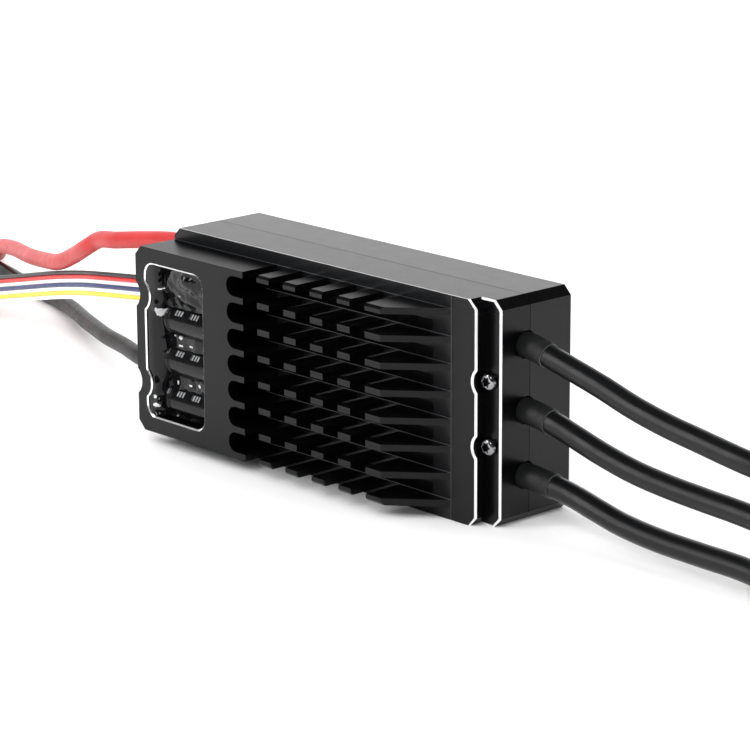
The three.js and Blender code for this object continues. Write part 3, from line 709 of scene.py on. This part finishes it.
def paint_case():
    """Finds the cut edges of the case by their slant and level."""
    case = paint("heatsink_housing", ANODISED, 0.1)
    case.data.materials.append(CUT_EDGE)
    case.data.materials.append(CUT_RIM)
    rim_depth, rim_width = RIM_CUT
    rim_slant = rim_width / hypot(rim_depth, rim_width)
    for face in case.data.polygons:
        slant, y = abs(face.normal.y), face.center.y / MM
        step = abs(slant - sqrt(0.5)) < 0.03 and any(low < y < low + 0.5 for low in (PLATEAU_Y, SHELF_Y))
        rim = abs(slant - rim_slant) < 0.03 and RIM_Y < y < RIM_Y + rim_depth
        if step or rim:
            face.material_index = 2 if rim else 1
    paint("rear_cover", ANODISED_REAR, 0.1)


def screw(name, x, z, under, facing):
    """A pan head with a six-lobed socket; under is where it seats, facing is -1 or 1 along Y."""
    sides, socket_radius, socket_low, socket_high = 96, 1.5, 0.3, 1.66
    angles = [2 * pi * k / sides for k in range(sides)]
    star = [1.2 + 0.24 * cos(6 * a) + 0.05 * cos(12 * a) for a in angles]
    disc = [(0.0, 1.25), (0.02, 2.3), (0.12, 2.4), (1.0, 2.38), (1.35, 2.2), (1.58, 1.9), (1.7, 1.62)]
    loops = [[r] * sides for _, r in disc]
    heights = [h for h, _ in disc]
    for height, scale in [(1.69, 1.06), (1.6, 1.0), (0.75, 0.96), (0.6, 0.6)]:
        loops.append([r * scale for r in star])
        heights.append(height)
    shank = [(-18.0, 0.8), (-17.4, 1.25)]
    loops = [[r] * sides for _, r in shank] + loops
    heights = [h for h, _ in shank] + heights
    points = [
        [(x + r * cos(a), under + facing * h, z + r * sin(a)) for r, a in zip(loop, angles)]
        for loop, h in zip(loops, heights)
    ]
    made = rings(name + "_detail", points, [STEEL, SOCKET_SHADOW])
    # Faces inside the socket take the near-black socket material, a painted shadow in the recess.
    for face in made.data.polygons:
        inner = hypot(face.center.x / MM - x, face.center.z / MM - z) < socket_radius
        height = (face.center.y / MM - under) * facing
        face.material_index = int(inner and socket_low < height < socket_high)
    return finish_piece(crease(made, 38), "steel", name)


def make_screws():
    for level, sign in (("lower", -1), ("upper", 1)):
        shelf_z = CENTRE_Z + sign * SCREW_HEAD["shelf_rise"]
        rear_z = CENTRE_Z + sign * SCREW_HEAD["rear_rise"]
        screw("shelf_screw_" + level, SCREW_HEAD["shelf_x"], shelf_z, SHELF_Y - 0.02, -1)
        screw("rear_screw_" + level, SCREW_HEAD["rear_x"], rear_z, REAR_SEAT_Y, 1)


# ---- Resin in the window ----
def hill(x, z, at, spread_x, spread_z, height):
    return height * exp(-(((x - at[0]) / spread_x) ** 2) - (((z - at[1]) / spread_z) ** 2))


def resin_front(x, z):
    """How far the poured surface lies in front of RESIN_Y at (x, z)."""
    lumps = perlin(Vector((x * 0.3, 3.1, z * 0.3))) * 0.7 + perlin(Vector((x * 0.8, 7.7, z * 0.8))) * 0.14
    edge = min(-36.2 - x, z - 8.7, 52.45 - z)
    wall = 1.3 * exp(-max(edge, 0) / 1.0)
    bank = 4.3 * sqrt(max(0.0, 1 - ((x + 60.5) / (4.9 + 0.5 * sin(z * 0.31))) ** 2))
    mound = hill(x, z, (-46, 49.4), 10.5, 4.6, 3.6) + hill(x, z, (-53.5, 45.8), 3.6, 3.0, 1.2)
    mound += hill(x, z, (-45.5, 43.6), 4.2, 1.7, 1.1)
    knobs = hill(x, z, (-57.0, 40.6), 1.7, 1.9, 1.2) + hill(x, z, (-56.4, 12.6), 1.7, 1.5, 1.5)
    knobs += hill(x, z, (-51.8, 11.4), 1.5, 1.1, 1.2) + hill(x, z, (-53.5, 24.9), 1.4, 1.0, 1.1)
    knobs += hill(x, z, (-53.0, 36.6), 2.0, 0.9, 1.2) + hill(x, z, (-47.2, 24.4), 1.3, 0.8, 1.0)
    knobs += hill(x, z, (-57.6, 17.5), 1.6, 1.9, 1.2) + hill(x, z, (-43, 36.4), 2.2, 0.7, 0.8)
    lumps *= (0.6 + 0.7 * exp(-(((z - 12) / 6) ** 2))) * (1 - 0.2 * bank)
    total = -0.7 + wall + bank + mound + knobs + lumps
    limit, softness = 3.1, 0.7
    return total if total < limit else limit + softness * (1 - exp(-(total - limit) / softness))


def make_resin():
    """The poured surface, closed behind by the plain block that it tops."""
    nx, nz = 100, 180
    left, right, low, high = (RESIN_BOX[side] for side in ("left", "right", "low", "high"))
    points = []
    for k in range(nz + 1):
        for i in range(nx + 1):
            x, z = left + (right - left) * i / nx, low + (high - low) * k / nz
            points.append((x, RESIN_Y - resin_front(x, z), z))
    row = nx + 1
    faces = [
        (k * row + i, k * row + i + 1, (k + 1) * row + i + 1, (k + 1) * row + i)
        for k in range(nz) for i in range(nx)
    ]
    border = list(range(row)) + [k * row + nx for k in range(1, nz + 1)]
    border += [nz * row + i for i in range(nx - 1, -1, -1)]
    border += [k * row for k in range(nz - 1, 0, -1)]
    start = len(points)
    points += [(points[b][0], RESIN_BACK_Y, points[b][2]) for b in border]
    count = len(border)
    for k in range(count):
        following = (k + 1) % count
        faces.append((border[following], border[k], start + k, start + following))
    faces.append(tuple(start + k for k in range(count)))
    made = face_out(new_object("potting_resin_detail", points, faces, [RESIN, PALE_FLAKE_AND_GLINT]))
    # Pale patches where the resin shows glints: part pale adhesive, part painted highlight.
    flake_and_glint_spots = [
        (-56.6, 38.9, 1.0, 1.3), (-51.2, 31.8, 0.9, 0.4), (-53.4, 32.4, 0.4, 0.3), (-50.9, 29.6, 1.0, 0.3),
        (-46.6, 30.0, 0.8, 0.25), (-52.7, 18.6, 0.5, 0.6), (-43.2, 19.2, 0.5, 0.45), (-47.0, 18.7, 0.6, 0.3),
        (-58.0, 11.7, 1.3, 0.6), (-58.4, 14.1, 0.6, 0.5), (-54.6, 11.5, 0.7, 0.45), (-55.7, 45.9, 0.45, 0.25),
        (-49.0, 44.6, 0.6, 0.2),
    ]
    for face in made.data.polygons:
        x, _, z = face.center / MM
        ragged = 1 + 0.8 * perlin(Vector((x * 2.1, 4.4, z * 2.1)))
        if any(((x - a) / u) ** 2 + ((z - b) / v) ** 2 < ragged for a, b, u, v in flake_and_glint_spots):
            face.material_index = 1
    finish_piece(crease(made, 60), "resin", "potting_resin")


paint_case()
make_screws()
make_resin()
for name in NODES:
    if name.startswith(("mosfet", "gate_driver", "microcontroller")):
        paint(name, EPOXY, 0.1)
    elif name.startswith(("busbar", "phase_terminal")):
        paint(name, COPPER, 0.1)
    elif name.startswith("board_standoff"):
        paint(name, TIN)
    elif name in ("power_board", "control_board"):
        paint(name, BOARD)
    elif name in ("board_link_header", "signal_socket", "signal_grommet"):
        paint(name, BLACK_PLASTIC, 0.25)
    elif name.startswith("grommet"):
        paint(name, SLEEVE, 0.2)
    elif name == "thermal_pad":
        paint(name, PAD, 0.1)
    elif name.startswith("capacitor"):
        paint(name, CAN_SLEEVE, 0.2)


# ---- Studio ----
BACKDROP, ROOM = 1.38, 0.06  # brightness of the white backdrop and of the dark room


def make_sky():
    """A white backdrop that ends above the horizon, in a dark room, so that gloss reads as black."""
    world = bpy.data.worlds.new("studio")
    bpy.context.scene.world = world
    world.use_nodes = True
    tree = world.node_tree
    place = tree.nodes.new("ShaderNodeTexCoord")
    split = tree.nodes.new("ShaderNodeSeparateXYZ")
    tree.links.new(place.outputs["Generated"], split.inputs[0])
    turned = tree.nodes.new("ShaderNodeVectorMath")
    turned.operation = "DOT_PRODUCT"
    turned.inputs[1].default_value = (-0.736, 0.677, 0)
    tree.links.new(place.outputs["Generated"], turned.inputs[0])
    levels = []
    for source, low, high, rising in (
        (split.outputs["Z"], 0.42, 0.64, False), (turned.outputs["Value"], 0.3, 0.72, True)
    ):
        level = tree.nodes.new("ShaderNodeMapRange")
        level.interpolation_type = "SMOOTHSTEP"
        level.inputs["From Min"].default_value = low
        level.inputs["From Max"].default_value = high
        level.inputs["To Min"].default_value = float(not rising)
        level.inputs["To Max"].default_value = float(rising)
        tree.links.new(source, level.inputs["Value"])
        levels.append(level.outputs["Result"])
    both = tree.nodes.new("ShaderNodeMath")
    both.operation = "MULTIPLY"
    strength = tree.nodes.new("ShaderNodeMath")
    strength.operation = "MULTIPLY_ADD"
    strength.inputs[1].default_value = BACKDROP
    strength.inputs[2].default_value = ROOM
    tree.links.new(levels[0], both.inputs[0])
    tree.links.new(levels[1], both.inputs[1])
    tree.links.new(both.outputs[0], strength.inputs[0])
    background = tree.nodes["Background"]
    background.inputs["Color"].default_value = (1, 1, 1, 1)
    tree.links.new(strength.outputs[0], background.inputs["Strength"])


def panel(name, place, aim, size, radiance, glossy=True):
    data = bpy.data.lights.new(name, "AREA")
    data.shape = "RECTANGLE"
    data.size, data.size_y = size
    data.energy = radiance * pi * size[0] * size[1]
    light = bpy.data.objects.new(name, data)
    bpy.context.scene.collection.objects.link(light)
    light.location = place
    light.rotation_euler = (Vector(aim) - Vector(place)).to_track_quat("-Z", "Y").to_euler()
    light.visible_glossy = glossy


def make_studio():
    reach = 6000
    corners = [(-reach, -reach, 0), (reach, -reach, 0), (reach, reach, 0), (-reach, reach, 0)]
    floor = new_object(
        "floor", corners, [(0, 1, 2, 3)],
        Shader("floor_paper", (0.93, 0.93, 0.93), 0.9).material,
    )
    make_sky()
    panel("overhead", (0, 0, 3.4), (0, 0, 0), (14, 14), 1.42, glossy=False)
    panel("fill", (1.7, -1.5, 1.3), (0, 0, 0), (2, 2), 0.7, glossy=False)
    panel("softbox", (-0.72, -1.2, 0.68), (0.1, 0, 0.03), (0.3, 1.15), 8)
    panel("kicker", (0.55, -1.05, 1.1), (0.06, 0, 0.03), (0.3, 0.3), 12)
    view = bpy.context.scene.view_settings
    view.view_transform = "Standard"
    view.look = "None"


make_studio()
